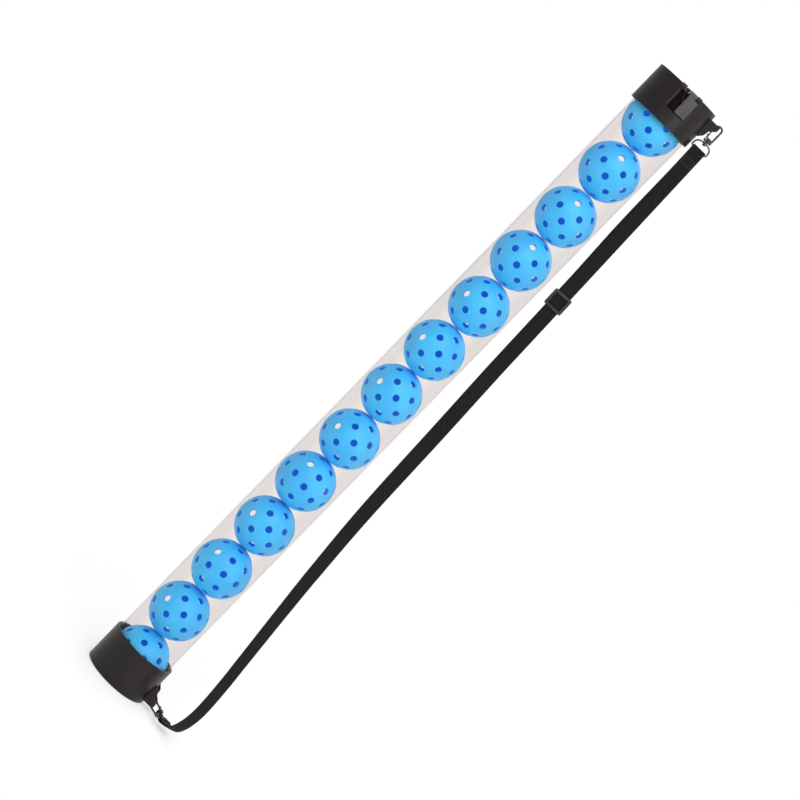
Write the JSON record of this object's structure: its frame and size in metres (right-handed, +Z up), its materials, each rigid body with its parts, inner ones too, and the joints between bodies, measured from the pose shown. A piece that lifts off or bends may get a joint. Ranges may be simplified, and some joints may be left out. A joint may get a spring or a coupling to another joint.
{
  "type": "ball pickup tube",
  "caption": "Upright clear tube with a sprung pick-up mouth and a closed lower cap, full of perforated balls, with an adjustable webbing strap on snap hooks.",
  "frame": {"origin": "middle of the closed cap's flat underside", "axes": "+Z up the tube to the open mouth, -Y towards the catch lever, +X towards the strap lugs"},
  "size_m": [0.1535, 0.0956, 0.9917],
  "materials": {
    "clear_plastic": "clear, polished",
    "black_plastic": "moulded, slight sheen",
    "sky_blue_plastic": "moulded, satin",
    "black_metal": "black plated zinc casting",
    "bright_steel": "bright drawn steel",
    "black_webbing": "woven polypropylene",
    "slider_plastic": "moulded, satin"
  },
  "bodies": {
    "tube": {"clear_tube": "clear_plastic", "bottom_cap": "black_plastic", "top_cap": "black_plastic", "catch_pin": "bright_steel", "top_hook": "black_metal", "top_gate_pin": "bright_steel"},
    "catch": {"catch_lever": "black_plastic", "catch_spring": "bright_steel"},
    "ball_column": {"pickleball_01": "sky_blue_plastic", "pickleball_02": "sky_blue_plastic", "pickleball_03": "sky_blue_plastic", "pickleball_04": "sky_blue_plastic", "pickleball_05": "sky_blue_plastic", "pickleball_06": "sky_blue_plastic", "pickleball_07": "sky_blue_plastic", "pickleball_08": "sky_blue_plastic", "pickleball_09": "sky_blue_plastic", "pickleball_10": "sky_blue_plastic", "pickleball_11": "sky_blue_plastic", "pickleball_12": "sky_blue_plastic", "pickleball_13": "sky_blue_plastic"},
    "top_gate": {"top_hook_gate": "black_metal"},
    "strap": {"top_eye": "black_metal", "strap_webbing": "black_webbing", "strap_return": "black_webbing", "bottom_eye": "black_metal"},
    "slider": {"strap_slider": "slider_plastic", "strap_slider_loop": "black_webbing"},
    "bottom_swivel": {"bottom_hook": "black_metal", "bottom_gate_pin": "bright_steel"},
    "bottom_gate": {"bottom_hook_gate": "black_metal"}
  },
  "joints": [
    {"name": "catch_hinge", "type": "hinge", "parent": "tube", "child": "catch", "pos_m": [0.008, -0.04205, 0.9885], "axis": [-1, 0, 0], "range_deg": [0, 25], "stiffness_Nm_per_rad": 0.15, "springref_deg": -14.32},
    {"name": "ball_rise", "type": "slide", "parent": "tube", "child": "ball_column", "axis": [0, 0, 1], "range_m": [0, 0.009]},
    {"name": "top_gate_hinge", "type": "hinge", "parent": "tube", "child": "top_gate", "pos_m": [0.0543, 0, 0.9644], "axis": [0, 1, 0], "range_deg": [0, 25], "stiffness_Nm_per_rad": 0.02, "springref_deg": -11.46},
    {"name": "strap_swing", "type": "hinge", "parent": "tube", "child": "strap", "pos_m": [0.0581, 0, 0.9579], "axis": [0, 0, 1], "range_deg": [-4, 45]},
    {"name": "slider_travel", "type": "slide", "parent": "strap", "child": "slider", "axis": [-0.0273, 0, 0.9996], "range_m": [0, 0.19], "deforming": ["strap_return"]},
    {"name": "bottom_swivel_turn", "type": "hinge", "parent": "strap", "child": "bottom_swivel", "pos_m": [0.0534, 0.00335, 0.009], "axis": [0.7071, -0.7071, 0], "range_deg": [-8, 8]},
    {"name": "bottom_gate_hinge", "type": "hinge", "parent": "bottom_swivel", "child": "bottom_gate", "pos_m": [0.06754, -0.01079, 0.0128], "axis": [-0.7071, -0.7071, 0], "range_deg": [0, 25], "stiffness_Nm_per_rad": 0.02, "springref_deg": -11.46}
  ]
}
